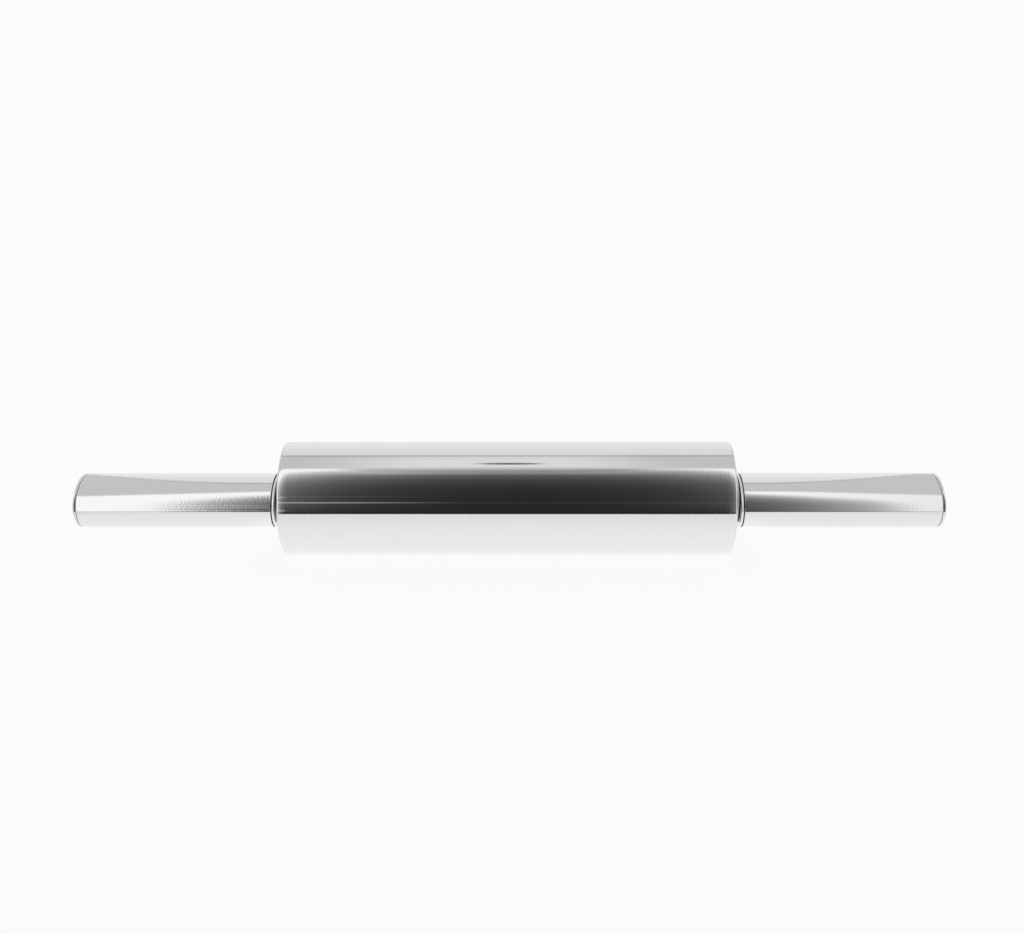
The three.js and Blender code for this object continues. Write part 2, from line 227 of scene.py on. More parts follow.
class RollingPinSettings(bpy.types.PropertyGroup):
    """All settings of the rolling pin."""

    barrel: PointerProperty(type=BarrelSizes)
    grip: PointerProperty(type=GripSizes)
    colours: PointerProperty(type=FinishColours)
    studio: PointerProperty(type=StudioSizes)


# Modelling

# A closed outline across the pin: its place along it, the height of its middle, and its two half widths.
Ring = namedtuple("Ring", "x z half_depth half_height")


def round_ring(x, radius):
    """A ring about the pin's axis."""
    return Ring(x, AXIS_Z, radius, radius)


def seal_ring(x, inset):
    """A ring of a seal, drawn in from its outline."""
    return round_ring(x, SEAL_RADIUS - inset)


def oval_ring(x, inset=0.0):
    """A ring of a grip, drawn in from its outline."""
    return Ring(x, GRIP_Z, GRIP_HALF_DEPTH - inset, GRIP_HALF_HEIGHT - inset)


def rounded_rim(ring_at, face_x, inward, along, across, steps):
    """Rings of a rounded edge, from a flat face outwards.

    ring_at gives the ring at a place and an inset. inward is the way along x into the piece, 1 or -1.
    """
    rings = []
    for step in range(steps + 1):
        angle = step / steps * pi / 2
        x = face_x + inward * along * (1 - cos(angle))
        rings.append(ring_at(x, across * (1 - sin(angle))))
    return rings


def crowned_radius(sizes, x):
    """The barrel's radius on its gentle crown, which falls towards the faces."""
    share = max(0.0, (abs(x) - CAP_HIGH.x) / sizes.crown_length + 1)
    return BARREL_RADIUS - sizes.crown * share ** CROWN_POWER


def crowned_rings(sizes, first_x, last_x):
    """Round rings on the crown, from one place to another."""
    rings = []
    for step in range(sizes.crown_steps + 1):
        x = first_x + (last_x - first_x) * step / sizes.crown_steps
        rings.append(round_ring(x, crowned_radius(sizes, x)))
    return rings


def rolled_rings(sizes):
    """Round rings of a cover's tight rolled edge, from the crown to the face."""
    edge_x = CAP_HIGH.x - sizes.edge_along
    roll = sizes.edge_across - sizes.crown
    rings = []
    for step in range(1, sizes.edge_steps + 1):
        angle = step / sizes.edge_steps * pi / 2
        x = edge_x + sizes.edge_along * sin(angle)
        rings.append(round_ring(x, crowned_radius(sizes, x) - roll * (1 - cos(angle))))
    return rings


def lofted_piece(name, rings, sides, closed=True):
    """A piece drawn ring by ring from a first circle.

    A closed one ends where it starts, and an open one is capped at both ends.
    """
    first = rings[0]
    bpy.ops.object.select_all(action="DESELECT")
    bpy.ops.mesh.primitive_circle_add(
        vertices=sides, radius=first.half_depth, location=(first.x, 0, first.z), rotation=(0, pi / 2, 0))
    piece = bpy.context.object
    piece.name = name
    piece.data.name = name
    bpy.ops.object.transform_apply(location=True, rotation=True, scale=True)
    bpy.ops.object.mode_set(mode="EDIT")
    bpy.ops.mesh.select_all(action="SELECT")
    bpy.ops.transform.resize(
        value=(1, 1, first.half_height / first.half_depth), center_override=(first.x, 0, first.z))
    last = first
    for ring in rings[1:] + (rings[:1] if closed else []):
        step = (ring.x - last.x, 0, ring.z - last.z)
        growth = (1, ring.half_depth / last.half_depth, ring.half_height / last.half_height)
        bpy.ops.mesh.extrude_region_move(TRANSFORM_OT_translate={"value": step})
        bpy.ops.transform.resize(value=growth, center_override=(ring.x, 0, ring.z))
        last = ring
    bpy.ops.mesh.select_all(action="SELECT")
    bpy.ops.mesh.remove_doubles(threshold=MERGE_DISTANCE)
    if not closed:
        bpy.ops.mesh.fill_holes(sides=0)
    bpy.ops.mesh.normals_make_consistent(inside=False)
    bpy.ops.object.mode_set(mode="OBJECT")
    bpy.ops.object.shade_smooth_by_angle(angle=SMOOTH_ANGLE)
    return piece


def half_turn_copy(piece, name):
    """A copy with its own mesh, half a turn round the middle of the pin."""
    bpy.ops.object.select_all(action="DESELECT")
    piece.select_set(True)
    bpy.context.view_layer.objects.active = piece
    bpy.ops.object.duplicate(linked=False)
    copy = bpy.context.object
    copy.name = name
    copy.data.name = name
    copy.rotation_euler.z = pi
    bpy.ops.object.transform_apply(location=False, rotation=True, scale=False)
    return copy


# Shader values

class Value:
    """A number or vector on a surface. Arithmetic on it adds Math nodes to its tree."""

    def __init__(self, shader, socket):
        self.shader = shader
        self.socket = socket

    def math(self, operation, *others, swapped=False):
        """A Math node on this value and others, in that order or turned round."""
        terms = [self, *others]
        if swapped:
            terms.reverse()
        return self.shader.node("ShaderNodeMath", {"operation": operation}, dict(enumerate(terms)))["Value"]

    def __add__(self, other):
        return self.math("ADD", other)

    def __sub__(self, other):
        return self.math("SUBTRACT", other)

    def __rsub__(self, other):
        return self.math("SUBTRACT", other, swapped=True)

    def __mul__(self, other):
        return self.math("MULTIPLY", other)

    def __pow__(self, other):
        return self.math("POWER", other)

    def __abs__(self):
        return self.math("ABSOLUTE")

    __radd__ = __add__
    __rmul__ = __mul__

    def least(self, other):
        return self.math("MINIMUM", other)

    def most(self, other):
        return self.math("MAXIMUM", other)

    def exponential(self):
        return self.math("EXPONENT")

    def rise(self, start, end, low=0.0, high=1.0):
        """A smooth step from low to high, as this value goes from start to end."""
        settings = {"interpolation_type": "SMOOTHSTEP"}
        sockets = {"Value": self, "From Min": start, "From Max": end, "To Min": low, "To Max": high}
        return self.shader.node("ShaderNodeMapRange", settings, sockets)["Result"]

    def fall(self, start, end):
        """A smooth step from 1 to 0, as this value goes from start to end."""
        return self.rise(start, end, low=1.0, high=0.0)

    def towards(self, other, share):
        """This value where share is 0, the other where it is 1."""
        return self + (other - self) * share


class Shader:
    """The node tree of a material or a world, cleared and ready for nodes."""

    def __init__(self, owner):
        owner.use_nodes = True
        self.tree = owner.node_tree
        self.tree.nodes.clear()

    def node(self, kind, settings=None, sockets=None):
        """Adds a node and returns its outputs in use, by name."""
        made = self.tree.nodes.new(kind)
        for name, setting in (settings or {}).items():
            setattr(made, name, setting)
        for name, value in (sockets or {}).items():
            if isinstance(value, Value):
                self.tree.links.new(value.socket, made.inputs[name])
            else:
                made.inputs[name].default_value = value
        return {output.name: Value(self, output) for output in made.outputs if output.enabled}

    def split(self, vector):
        """The three numbers of a vector."""
        parts = self.node("ShaderNodeSeparateXYZ", None, {"Vector": vector})
        return parts["X"], parts["Y"], parts["Z"]

    def joined(self, x, y, z):
        """A vector of three numbers."""
        return self.node("ShaderNodeCombineXYZ", None, {"X": x, "Y": y, "Z": z})["Vector"]

    def noise(self, vector, scale, detail):
        """Noise between 0 and 1."""
        sockets = {"Vector": vector, "Scale": scale, "Detail": detail}
        return self.node("ShaderNodeTexNoise", None, sockets)["Fac"]

    def blend(self, share, first, second):
        """A colour between two others. The sockets of a Mix node go by number, for its names repeat."""
        return self.node("ShaderNodeMix", {"data_type": "RGBA"}, {0: share, 6: first, 7: second})["Result"]

    def tint(self, share, colour, dark, light):
        """A colour between a darker and a lighter shade of its own."""
        return self.blend(share, shaded(colour, dark), shaded(colour, light))

    def bump(self, height, depth, strength):
        """The normals of a relief, whose height from 0 to 1 stands for that depth in metres."""
        sockets = {"Height": height, "Distance": depth, "Strength": strength}
        return self.node("ShaderNodeBump", None, sockets)["Normal"]

    def surface(self, **sockets):
        """A Principled surface with those sockets, and the tree's output."""
        named = {name.replace("_", " "): value for name, value in sockets.items()}
        shader = self.node("ShaderNodeBsdfPrincipled", None, named)["BSDF"]
        self.node("ShaderNodeOutputMaterial", None, {"Surface": shader})


# Finishes

# Noise drawn out round the pin: how often it changes, to a metre along the pin and to a radian round it, the
# layer of the noise that it is cut from, and its detail.
Grain = namedtuple("Grain", "along around layer detail")
BARREL_GRAIN = Grain(along=1000, around=2.5, layer=0.0, detail=3.0)
BARREL_CLOUDS = Grain(along=60, around=2.2, layer=3.0, detail=3.0)
GRIP_GRAIN = Grain(along=1000, around=11.0, layer=1.0, detail=2.0)
GRIP_CLOUDS = Grain(along=40, around=1.5, layer=5.0, detail=3.0)

# Depths of the relief: the grain of polished steel, tool marks, and the spots of small pieces.
GRAIN_DEPTH = 0.00001
MARKS_DEPTH = 0.00003
SPOTS_DEPTH = 0.00004

# Tool marks of turned steel, to a metre along its axis and outwards from it.
MARKS_ALONG = 4000
MARKS_OUTWARDS = 5000

# Grain of the left grip, which is worn, and of the right one, as shares of the depth.
LEFT_WEAR = 1.5
RIGHT_WEAR = 0.6

# Painted shade in the outer grooves, as a share of that in the inner ones, and where it fades, in widths of a
# groove from its middle.
OUTER_GROOVE_SHADE = 0.75
GROOVE_SHADE_START = 0.45
GROOVE_SHADE_END = 0.6

# Finishes of the small pieces: the colour's name, how metallic and rough it is, and its spots to a metre.
Mottle = namedtuple("Mottle", "colour metallic roughness spots")
MOTTLES = {
    "bearing_steel": Mottle(colour="bearing", metallic=1.0, roughness=0.12, spots=900),
    "spring_steel": Mottle(colour="spring", metallic=0.9, roughness=0.42, spots=1400),
    "cage_brass": Mottle(colour="brass", metallic=1.0, roughness=0.3, spots=1200),
    "natural_nylon": Mottle(colour="nylon", metallic=0.0, roughness=0.5, spots=1600),
}


def shaded(colour, share=1.0):
    """A colour made darker or lighter, with its alpha."""
    return *(channel * share for channel in colour), 1.0


def new_material(name):
    """A material and its empty node tree."""
    material = bpy.data.materials.new(name)
    return material, Shader(material)


def pin_coordinates(shader):
    """Places on the pin: along it, across it, and above its axis."""
    place = shader.node("ShaderNodeTexCoord")["Object"]
    along, across, height = shader.split(place)
    return along, across, height - AXIS_Z


def drawn_noise(shader, grain, along, around):
    """Noise between 0 and 1 that is drawn out as a grain says."""
    place = shader.joined(along * grain.along, around * grain.around, grain.layer)
    return shader.noise(place, 1.0, grain.detail)


def barrel_steel(settings):
    """Polished steel with a fine grain that runs round the barrel."""
    material, shader = new_material("barrel_steel")
    along, across, above = pin_coordinates(shader)
    around = across.math("ARCTAN2", above)
    grain = drawn_noise(shader, BARREL_GRAIN, along, around)
    clouds = drawn_noise(shader, BARREL_CLOUDS, along, around)
    shader.surface(
        Base_Color=shader.tint(0.5 * grain + 0.5 * clouds, settings.colours.barrel, dark=0.94, light=1.05),
        Metallic=1.0,
        Roughness=0.022 + 0.045 * grain + 0.015 * clouds,
        Normal=shader.bump(grain, GRAIN_DEPTH, strength=0.6),
    )
    return material


def groove_shade_mask(along, groove_x, width):
    """1 in a groove round both grips, where shade is painted, 0 outside it."""
    return abs(abs(along) - groove_x).fall(GROOVE_SHADE_START * width, GROOVE_SHADE_END * width)


def grip_steel(settings):
    """Polished steel with a fine grain round the grip, and painted shade in its two grooves, which also makes
    them rougher.
    """
    material, shader = new_material("grip_steel")
    sizes = settings.grip
    along, across, above = pin_coordinates(shader)
    around = across.math("ARCTAN2", above)
    grain = drawn_noise(shader, GRIP_GRAIN, along, around)
    clouds = drawn_noise(shader, GRIP_CLOUDS, along, around)
    steel = shader.tint(clouds, settings.colours.grip, dark=0.975, light=1.02)
    # Masks of the painted shade in the inner and outer grooves: the steel turns dark and rough there, as if
    # shade fell in them
    inner = groove_shade_mask(along, GRIP_LOW.x - sizes.inner_seam / 2, sizes.inner_seam)
    outer = groove_shade_mask(along, GRIP_HIGH.x + sizes.end_seam / 2, sizes.end_seam)
    painted_groove_shade = inner.most(OUTER_GROOVE_SHADE * outer)
    wear = along.rise(-GRIP_LOW.x, GRIP_LOW.x, low=LEFT_WEAR, high=RIGHT_WEAR)
    shader.surface(
        Base_Color=shader.blend(painted_groove_shade, steel, shaded(settings.colours.painted_groove_shade)),
        Metallic=1.0,
        Roughness=0.045 + 0.02 * grain + 0.02 * clouds + 0.4 * painted_groove_shade,
        Normal=shader.bump(wear * grain, GRAIN_DEPTH, strength=1.0),
    )
    return material


def machined_steel(settings):
    """Turned steel with fine tool marks round the axis."""
    material, shader = new_material("machined_steel")
    along, across, above = pin_coordinates(shader)
    radius = (across * across + above * above) ** 0.5
    marks = shader.noise(shader.joined(along * MARKS_ALONG, radius * MARKS_OUTWARDS, 0.0), 1.0, 2.0)
    shader.surface(
        Base_Color=shader.tint(marks, settings.colours.machined, dark=0.9, light=1.08),
        Metallic=1.0,
        Roughness=0.26 + 0.14 * marks,
        Normal=shader.bump(marks, MARKS_DEPTH, strength=0.4),
    )
    return material


def mottled_finish(settings, slot):
    """A finish with fine spots in its colour and gloss, for the small pieces."""
    material, shader = new_material(slot)
    mottle = MOTTLES[slot]
    spots = shader.noise(shader.node("ShaderNodeTexCoord")["Object"], mottle.spots, 3.0)
    shader.surface(
        Base_Color=shader.tint(spots, getattr(settings.colours, mottle.colour), dark=0.88, light=1.1),
        Metallic=mottle.metallic,
        Roughness=mottle.roughness * (0.8 + 0.4 * spots),
        Normal=shader.bump(spots, SPOTS_DEPTH, strength=0.3),
    )
    return material


STEELS = {"barrel_steel": barrel_steel, "handle_steel": grip_steel, "machined_steel": machined_steel}
made_finishes = {}


def finish_of(slot):
    """The material of a slot of the record, made once."""
    if slot not in made_finishes:
        settings = bpy.context.scene.rolling_pin
        make = STEELS.get(slot)
        made_finishes[slot] = make(settings) if make else mottled_finish(settings, slot)
    return made_finishes[slot]


# Fitting

def fit_piece(piece, body, slot, node):
    """Gives a piece its finish, the body it moves with and the solid it stands for."""
    piece.data.materials.clear()
    piece.data.materials.append(finish_of(slot))
    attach(piece, body)
    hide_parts(node)


def fit_pair(right, stem, body, slot, node):
    """Fits a right-hand piece and its left-hand copy."""
    left = half_turn_copy(right, f"left_{stem}")
    fit_piece(right, body, slot, f"right_{node}")
    fit_piece(left, body, slot, f"left_{node}")


# Studio

# A direction of the light: x is its share along the pin, aside is how far x lies from the light's middle, and
# height is its angle in degrees, 0 level in front, 90 straight up and 180 level behind.
LIGHT_MIDDLE = -0.031

# Front: its darkest level, how it brightens upwards, and how much brighter it is above its shelf.
FRONT_LEVEL = 0.024
FRONT_CLIMB = 4.06
FRONT_CLIMB_POWER = 3.5
FRONT_SHELF = 0.45

# Level streaks of light: how bright they are, at which height, and where their soft edges start and end.
Streak = namedtuple("Streak", "level height start end")
BARREL_STREAKS = (
    Streak(level=0.36, height=22.8, start=0.5, end=1.4),
    Streak(level=0.05, height=34.5, start=0.3, end=1.0),
)
GRIP_STREAKS = (
    Streak(level=0.28, height=7.0, start=0.5, end=2.5),
    Streak(level=0.2, height=33.0, start=0.5, end=2.5),
)

# Ceiling: the height where it starts, its fall beyond the barrel's ends, and the dark spot in it. After the
# spot's place comes how many of its half widths there are to x and to a degree.
CEILING_EDGE = 93
CEILING_LOWEST = 55.0
CEILING_FALL = 130
CEILING_FALL_START = 0.225
SPOT_X = -0.0165
SPOT_HEIGHT = 105.0
SPOT_PER_X = 34.0
SPOT_PER_DEGREE = 0.38
SPOT_DARKNESS = 0.8

# Back wall: the height where it starts, its climb towards the pin's ends, and how sharp its edge is.
WALL_MIDDLE = -0.021
WALL_EDGE = 126.5
WALL_HIGHEST = 200.0
WALL_CLIMB = 8780
WALL_CLIMB_POWER = 2.6
WALL_CLIMB_START = 0.2
WALL_SOFTNESS = 0.6

# Floor: its level in the steel, how fast the brighter pool under the pin fades across it, and cells a side.
FLOOR_LEVEL = 0.93
POOL_FADE = 10.0
FLOOR_CELLS = 8


def level_lines(height, streaks):
    """Level lines of light with soft edges."""
    return sum(
        streak.level * abs(height - streak.height).fall(streak.start, streak.end) for streak in streaks)


def streak_light(x, height):
    """The streaks that the barrel's left half and the left grip mirror."""
    on_barrel = level_lines(height, BARREL_STREAKS) * x.rise(-0.19, -0.05, low=1.0, high=0.06)
    on_grip = level_lines(height, GRIP_STREAKS) * x.fall(-0.225, -0.208)
    return on_barrel + on_grip


def front_light(x, aside, height):
    """The dark front behind the camera, which brightens upwards and to both sides."""
    top = aside.rise(0.1, 0.17, low=84.0, high=96.0)
    climb = FRONT_CLIMB * (height.least(top) * 0.01).most(0.0) ** FRONT_CLIMB_POWER
    width = aside.rise(0.1, 0.22, low=28.0, high=39.5)
    at_floor = aside.rise(0.18, 0.24, low=0.45, high=1.0)
    to_right = x.rise(0.245, 0.285, low=1.0, high=0.92)
    spread = x * x * width * height.rise(0.0, 22.0, low=at_floor, high=1.0) * to_right
    shelf = 1 + FRONT_SHELF * height.rise(79.1, 79.9) * aside.fall(0.08, 0.17)
    glow = FRONT_LEVEL * (climb + spread).exponential() * shelf
    brightest = x.rise(0.15, 0.33, low=1.14, high=1.0)
    horizon = height.rise(1.0, 6.0, low=0.6, high=1.0)
    return (glow + streak_light(x, height)).least(brightest) * horizon


def ceiling_light(x, aside, height):
    """The pale ceiling, with a dark spot over the middle of the pin."""
    spot_x = (x - SPOT_X) * SPOT_PER_X
    spot_height = (height - SPOT_HEIGHT) * SPOT_PER_DEGREE
    spot = ((spot_x * spot_x + spot_height * spot_height) ** 0.5).fall(0.7, 1.15)
    middle = aside.rise(0.05, 0.18, low=0.86, high=0.64)
    far = height.rise(106.0, 126.0, low=1.02, high=aside.rise(0.12, 0.2, low=0.93, high=1.03))
    return middle * far * (1 - SPOT_DARKNESS * spot)


def ceiling_share(x, aside, height):
    """0 in front, 1 from the ceiling's edge on. The edge is lower beyond the barrel's ends."""
    edge = (CEILING_EDGE - (abs(x) - CEILING_FALL_START).most(0.0) * CEILING_FALL).most(CEILING_LOWEST)
    softness = aside.rise(0.04, 0.14, low=7.0, high=3.0)
    return height.rise(edge - softness, edge + softness)


def wall_edge(x):
    """The height of the wall's edge, which climbs towards the pin's ends."""
    beyond = (abs(x - WALL_MIDDLE) - WALL_CLIMB_START).most(0.0)
    return (WALL_EDGE + WALL_CLIMB * beyond ** WALL_CLIMB_POWER).least(WALL_HIGHEST)


def end_light(x, z, height):
    """Light from beside the pin, and the darker steps that its end faces mirror."""
    beside = z.rise(0.0, 0.6, low=0.55, high=0.98)
    front = height.rise(25.0, 85.0, low=0.18, high=0.4)
    end_on = front + height.rise(84.0, 92.0, high=0.3) + height.rise(124.0, 130.0, high=0.22)
    return beside.towards(end_on, abs(x).rise(0.58, 0.72))


def studio_light(shader):
    """The light from each side: a dark front behind the camera, a pale ceiling, a white wall and the ends."""
    x, y, z = shader.split(shader.node("ShaderNodeTexCoord")["Generated"])
    aside = abs(x - LIGHT_MIDDLE)
    height = z.math("ARCTAN2", 0.0 - y) * degrees(1)
    front = front_light(x, aside, height)
    over = front.towards(ceiling_light(x, aside, height), ceiling_share(x, aside, height))
    edge = wall_edge(x)
    wall = height.rise(127.0, 185.0, low=0.85, high=0.97)
    behind = over.towards(wall, height.rise(edge - WALL_SOFTNESS, edge + WALL_SOFTNESS))
    edge_line = abs(height - edge).rise(1.4, 2.8, low=0.66, high=1.0)
    return (behind * edge_line).towards(end_light(x, z, height), aside.rise(0.42, 0.62))


def make_world(studio):
    """The studio's light, and a plain background where the camera looks past the floor."""
    world = bpy.data.worlds.new("studio")
    bpy.context.scene.world = world
    shader = Shader(world)
    seen = shader.node("ShaderNodeLightPath")["Is Camera Ray"]
    level = studio_light(shader).towards(studio.sky, seen)
    light = shader.node("ShaderNodeBackground", None, {"Color": level, "Strength": 1.0})["Background"]
    shader.node("ShaderNodeOutputWorld", None, {"Surface": light})


def mirrored_floor(shader):
    """The floor's level in the steel: brightest under the pin, and in shade beyond its ends."""
    along, across, _ = shader.split(shader.node("ShaderNodeTexCoord")["Object"])
    pool = abs(along).rise(0.13, 0.16, low=0.21, high=0.1) * (abs(across) * -POOL_FADE).exponential()
    shade = abs(along).rise(0.27, 0.37, high=0.4) * abs(across).fall(0.15, 0.4)
    return FLOOR_LEVEL + pool - shade


def make_floor(studio, colours):
    """The pale floor, which keeps a little of the pin's shadow."""
    bpy.ops.object.select_all(action="DESELECT")
    bpy.ops.mesh.primitive_grid_add(
        x_subdivisions=FLOOR_CELLS, y_subdivisions=FLOOR_CELLS, size=studio.floor_width,
        location=(0, 0, -studio.floor_drop))
    floor = bpy.context.object
    floor.name = "studio_floor"
    material, shader = new_material("studio_floor")
    path = shader.node("ShaderNodeLightPath")
    seen = path["Is Camera Ray"]
    mirrored = path["Is Glossy Ray"].most(path["Is Transmission Ray"])
    level = seen * studio.white + mirrored * mirrored_floor(shader)
    share = seen.most(mirrored) * studio.evenness
    paint = shader.node("ShaderNodeBsdfDiffuse", None, {"Color": shaded(colours.floor)})["BSDF"]
    glow = shader.node("ShaderNodeEmission", None, {"Color": level, "Strength": 1.0})["Emission"]
    mixed = shader.node("ShaderNodeMixShader", None, {0: share, 1: paint, 2: glow})["Shader"]
    shader.node("ShaderNodeOutputMaterial", None, {"Surface": mixed})
    floor.data.materials.append(material)


def make_camera(studio):
    """The photograph's camera, turned so that the middle of the pin falls on its pixel."""
    data = bpy.data.cameras.new("camera")
    data.lens = studio.lens
    camera = bpy.data.objects.new("camera", data)
    bpy.context.scene.collection.objects.link(camera)
    bpy.context.scene.camera = camera
    middle = Vector((0, 0, AXIS_Z))
    turn = Matrix.Rotation(studio.azimuth, 4, "Z") @ Matrix.Rotation(pi / 2 - studio.elevation, 4, "X")
    focal_pixels = studio.lens / data.sensor_width * PHOTO_WIDTH
    tilt = atan((PIN_PIXEL_Y - PHOTO_HEIGHT / 2) / focal_pixels)
    swing = atan((PIN_PIXEL_X - PHOTO_WIDTH / 2) / focal_pixels)
    level = atan(tan(studio.azimuth) * sin(studio.elevation))
    aim = (
        Matrix.Rotation(-level, 4, "Z")
        @ Matrix.Rotation(tilt, 4, "X")
        @ Matrix.Rotation(swing, 4, "Y")
    )
    back = turn @ Vector((0, 0, studio.distance))
    camera.matrix_world = Matrix.Translation(middle + back) @ turn @ aim


# Operators

class ROLLINGPIN_OT_studio(bpy.types.Operator):
    """Make the floor, the light and the camera"""

    bl_idname = "rolling_pin.studio"
    bl_label = "Studio"

    def execute(self, context):
        settings = context.scene.rolling_pin
        context.scene.view_settings.view_transform = "Standard"
        make_world(settings.studio)
        make_floor(settings.studio, settings.colours)
        make_camera(settings.studio)
        return {"FINISHED"}


class ROLLINGPIN_OT_barrel_shell(bpy.types.Operator):
    """Make the barrel's tube"""

    bl_idname = "rolling_pin.barrel_shell"
    bl_label = "Barrel shell"

    def execute(self, context):
        sizes = context.scene.rolling_pin.barrel
        bore = BARREL_RADIUS - sizes.wall
        crown_x = CAP_HIGH.x - sizes.crown_length
        right_end = [
            *crowned_rings(sizes, crown_x, TUBE_HIGH.x - sizes.seam),
            round_ring(TUBE_HIGH.x, crowned_radius(sizes, TUBE_HIGH.x) - sizes.seam),
            round_ring(TUBE_HIGH.x, bore),
        ]
        left_end = [ring._replace(x=-ring.x) for ring in reversed(right_end)]
        shell = lofted_piece("barrel_shell", left_end + right_end, sizes.sides)
        fit_piece(shell, "barrel", "barrel_steel", "barrel_tube")
        return {"FINISHED"}


class ROLLINGPIN_OT_barrel_covers(bpy.types.Operator):
    """Make the two pressed covers of the barrel, with their rolled edges"""

    bl_idname = "rolling_pin.barrel_covers"
    bl_label = "Barrel covers"

    def execute(self, context):
        sizes = context.scene.rolling_pin.barrel
        face_x = CAP_HIGH.x
        back_x = face_x - sizes.sheet
        spigot = BARREL_RADIUS - sizes.wall - sizes.slip
        spigot_bore = spigot - sizes.sheet
        hole = FLANGE_RADIUS - sizes.flange_width + sizes.slip
        rings = [
            round_ring(CAP_LOW.x, spigot_bore),
            round_ring(CAP_LOW.x, spigot),
            round_ring(TUBE_HIGH.x, spigot),
            round_ring(TUBE_HIGH.x, crowned_radius(sizes, TUBE_HIGH.x) - sizes.seam),
            *crowned_rings(sizes, TUBE_HIGH.x + sizes.seam, face_x - sizes.edge_along),
            *rolled_rings(sizes),
            round_ring(face_x, BARREL_RADIUS - sizes.edge_across - sizes.face_hold),
            round_ring(face_x, hole + sizes.hole_edge),
            round_ring(face_x - sizes.hole_edge, hole),
            round_ring(back_x, hole),
            round_ring(back_x, spigot_bore),
        ]
        cover = lofted_piece("right_barrel_cover", rings, sizes.sides)
        fit_pair(cover, "barrel_cover", "barrel", "barrel_steel", "barrel_cap")
        return {"FINISHED"}


class ROLLINGPIN_OT_hubs(bpy.types.Operator):
    """Make the two hubs that hold the bearings behind the covers"""

    bl_idname = "rolling_pin.hubs"
    bl_label = "Hubs"

    def execute(self, context):
        sizes = context.scene.rolling_pin.barrel
        face_x = HOUSING_HIGH.x
        back_x = face_x - sizes.sheet
        flange_x = back_x - sizes.flange_thickness
        hub = FLANGE_RADIUS - sizes.flange_width
        seat = BEARING_RADIUS + sizes.slip
        bore = BEARING_RADIUS - sizes.shoulder
        groove = CIRCLIP_RADIUS + sizes.slip
        edge = sizes.hole_edge
        rings = [
            round_ring(HOUSING_LOW.x, seat),
            round_ring(HOUSING_LOW.x, hub),
            round_ring(flange_x, hub),
            round_ring(flange_x, FLANGE_RADIUS),
            round_ring(back_x, FLANGE_RADIUS),
            round_ring(back_x, hub),
            round_ring(face_x - edge, hub),
            round_ring(face_x, hub - edge),
            round_ring(face_x, bore + edge),
            round_ring(face_x - edge, bore),
            round_ring(BEARING_HIGH.x, bore),
            round_ring(BEARING_HIGH.x, seat),
            round_ring(CIRCLIP_HIGH.x, seat),
            round_ring(CIRCLIP_HIGH.x, groove),
            round_ring(CIRCLIP_LOW.x, groove),
            round_ring(CIRCLIP_LOW.x, seat),
        ]
        hub_piece = lofted_piece("right_hub", rings, sizes.sides)
        fit_pair(hub_piece, "hub", "barrel", "machined_steel", "bearing_housing")
        return {"FINISHED"}


class ROLLINGPIN_OT_seals(bpy.types.Operator):
    """Make the two nylon rings between the barrel and the grips"""

    bl_idname = "rolling_pin.seals"
    bl_label = "Seals"

    def execute(self, context):
        sizes = context.scene.rolling_pin.grip
        bore = NECK_RADIUS + sizes.slip
        round_size = sizes.seal_round
        rings = [
            round_ring(SEAL_LOW.x, bore),
            *rounded_rim(seal_ring, SEAL_LOW.x, 1, round_size, round_size, sizes.round_steps),
        ]
        middle_x = (SEAL_LOW.x + SEAL_HIGH.x) / 2
        mirrored = [ring._replace(x=2 * middle_x - ring.x) for ring in reversed(rings)]
        seal = lofted_piece("right_seal", rings + mirrored, sizes.sides)
        fit_pair(seal, "seal", "handles", "natural_nylon", "dust_ring")
        return {"FINISHED"}


class ROLLINGPIN_OT_grip_collars(bpy.types.Operator):
    """Make the two caps that close the grips next to the barrel"""

    bl_idname = "rolling_pin.grip_collars"
    bl_label = "Grip collars"

    def execute(self, context):
        sizes = context.scene.rolling_pin.grip
        bore = AXLE_RADIUS + sizes.slip
        plug_inset = sizes.wall + sizes.slip
        round_size = sizes.rim_round
        steps = sizes.round_steps
        rim_back_x = GRIP_LOW.x - sizes.inner_seam
        rings = [
            round_ring(COLLAR_LOW.x, bore),
            oval_ring(COLLAR_LOW.x, round_size + sizes.face_hold),
            *rounded_rim(oval_ring, COLLAR_LOW.x, 1, round_size, round_size, steps),
            *rounded_rim(oval_ring, rim_back_x, -1, sizes.rim_along, sizes.rim_across, steps)[::-1],
            oval_ring(rim_back_x, sizes.seam_depth),
            oval_ring(GRIP_LOW.x, sizes.seam_depth),
            oval_ring(GRIP_LOW.x, plug_inset),
            oval_ring(COLLAR_HIGH.x, plug_inset),
            round_ring(COLLAR_HIGH.x, bore),
        ]
        collar = lofted_piece("right_grip_collar", rings, sizes.sides)
        fit_pair(collar, "grip_collar", "handles", "handle_steel", "handle_inner_cap")
        return {"FINISHED"}


class ROLLINGPIN_OT_grips(bpy.types.Operator):
    """Make the two oval grips"""

    bl_idname = "rolling_pin.grips"
    bl_label = "Grips"

    def execute(self, context):
        sizes = context.scene.rolling_pin.grip
        rings = []
        for end_x, inward in ((GRIP_LOW.x, 1), (GRIP_HIGH.x, -1)):
            end = [
                oval_ring(end_x, sizes.wall),
                oval_ring(end_x, sizes.edge),
                oval_ring(end_x + inward * sizes.edge),
            ]
            rings += end if inward > 0 else end[::-1]
        grip = lofted_piece("right_grip", rings, sizes.sides)
        fit_pair(grip, "grip", "handles", "handle_steel", "handle_tube")
        return {"FINISHED"}


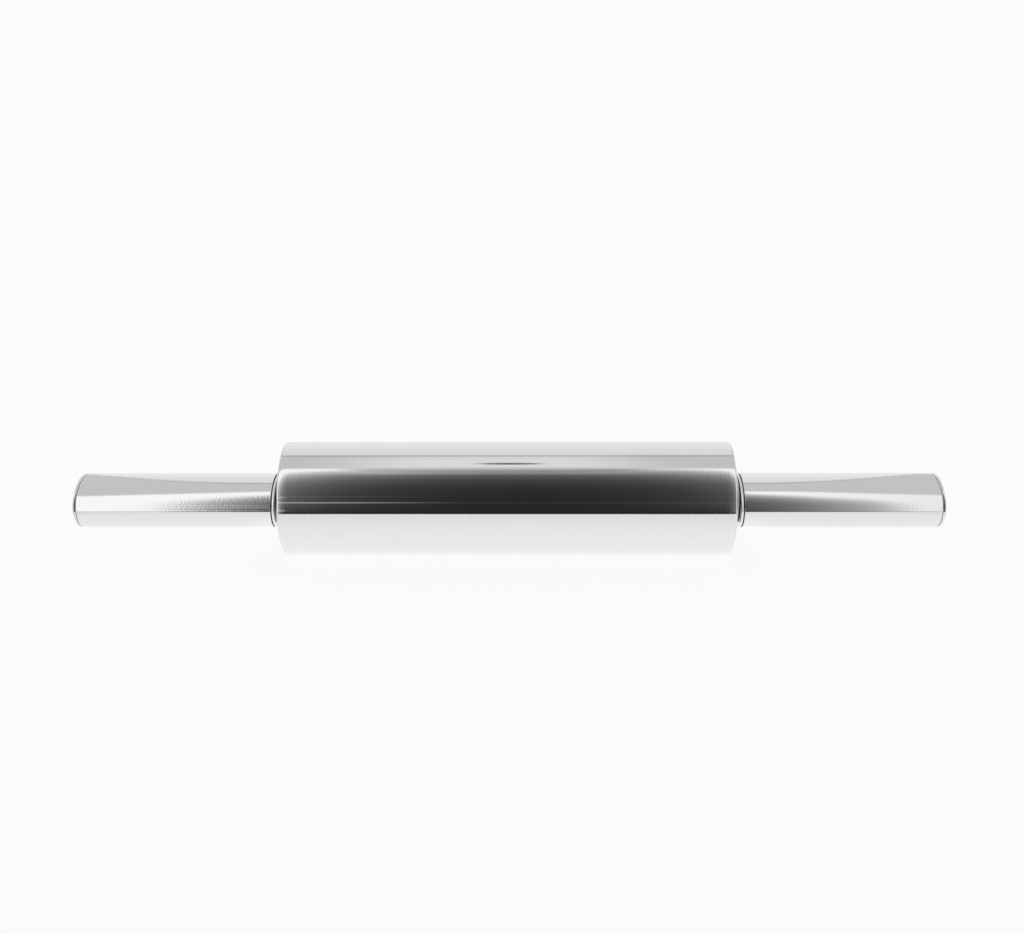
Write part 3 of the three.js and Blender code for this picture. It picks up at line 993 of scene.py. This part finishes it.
class ROLLINGPIN_OT_grip_ends(bpy.types.Operator):
    """Make the two caps at the outer ends of the grips"""

    bl_idname = "rolling_pin.grip_ends"
    bl_label = "Grip ends"

    def execute(self, context):
        sizes = context.scene.rolling_pin.grip
        skirt_inset = sizes.wall + sizes.slip
        hollow = skirt_inset + sizes.sheet
        rim_x = GRIP_HIGH.x + sizes.end_seam
        steps = sizes.round_steps
        rings = [
            oval_ring(rim_x, hollow),
            oval_ring(END_LOW.x, hollow),
            oval_ring(END_LOW.x, skirt_inset),
            oval_ring(GRIP_HIGH.x, skirt_inset),
            oval_ring(GRIP_HIGH.x, sizes.seam_depth),
            oval_ring(rim_x, sizes.seam_depth),
            oval_ring(rim_x, sizes.edge + sizes.end_flare),
            oval_ring(rim_x + sizes.edge, sizes.end_flare),
            *rounded_rim(oval_ring, END_HIGH.x, -1, sizes.end_along, sizes.end_across, steps)[::-1],
            oval_ring(END_HIGH.x, sizes.end_across + sizes.face_hold),
        ]
        end = lofted_piece("right_grip_end", rings, sizes.sides, closed=False)
        fit_pair(end, "grip_end", "handles", "handle_steel", "handle_end_cap")
        return {"FINISHED"}


class ROLLINGPIN_OT_inner_pieces(bpy.types.Operator):
    """Finish the axle, the bearings and the fasteners inside the pin"""

    bl_idname = "rolling_pin.inner_pieces"
    bl_label = "Inner pieces"

    def execute(self, context):
        for subpart in frame["record"]["subparts"]:
            solid = frame["nodes"][subpart["node"]]
            solid.data.materials.clear()
            solid.data.materials.append(finish_of(subpart["material_slot"]))
        return {"FINISHED"}


class ROLLINGPIN_PT_pieces(bpy.types.Panel):
    """The steps that make the rolling pin"""

    bl_label = "Rolling pin"
    bl_idname = "ROLLINGPIN_PT_pieces"
    bl_space_type = "VIEW_3D"
    bl_region_type = "UI"
    bl_category = "Rolling pin"

    def draw(self, context):
        for step in STEPS:
            self.layout.operator(step.bl_idname)


STEPS = (
    ROLLINGPIN_OT_studio,
    ROLLINGPIN_OT_barrel_shell,
    ROLLINGPIN_OT_barrel_covers,
    ROLLINGPIN_OT_hubs,
    ROLLINGPIN_OT_seals,
    ROLLINGPIN_OT_grip_collars,
    ROLLINGPIN_OT_grips,
    ROLLINGPIN_OT_grip_ends,
    ROLLINGPIN_OT_inner_pieces,
)
CLASSES = (
    BarrelSizes,
    GripSizes,
    FinishColours,
    StudioSizes,
    RollingPinSettings,
    *STEPS,
    ROLLINGPIN_PT_pieces,
)


def register():
    for cls in CLASSES:
        bpy.utils.register_class(cls)
    bpy.types.Scene.rolling_pin = PointerProperty(type=RollingPinSettings)


def unregister():
    del bpy.types.Scene.rolling_pin
    for cls in reversed(CLASSES):
        bpy.utils.unregister_class(cls)


def main():
    register()
    bpy.ops.rolling_pin.studio()
    bpy.ops.rolling_pin.barrel_shell()
    bpy.ops.rolling_pin.barrel_covers()
    bpy.ops.rolling_pin.hubs()
    bpy.ops.rolling_pin.seals()
    bpy.ops.rolling_pin.grip_collars()
    bpy.ops.rolling_pin.grips()
    bpy.ops.rolling_pin.grip_ends()
    bpy.ops.rolling_pin.inner_pieces()


if __name__ == "__main__":
    main()
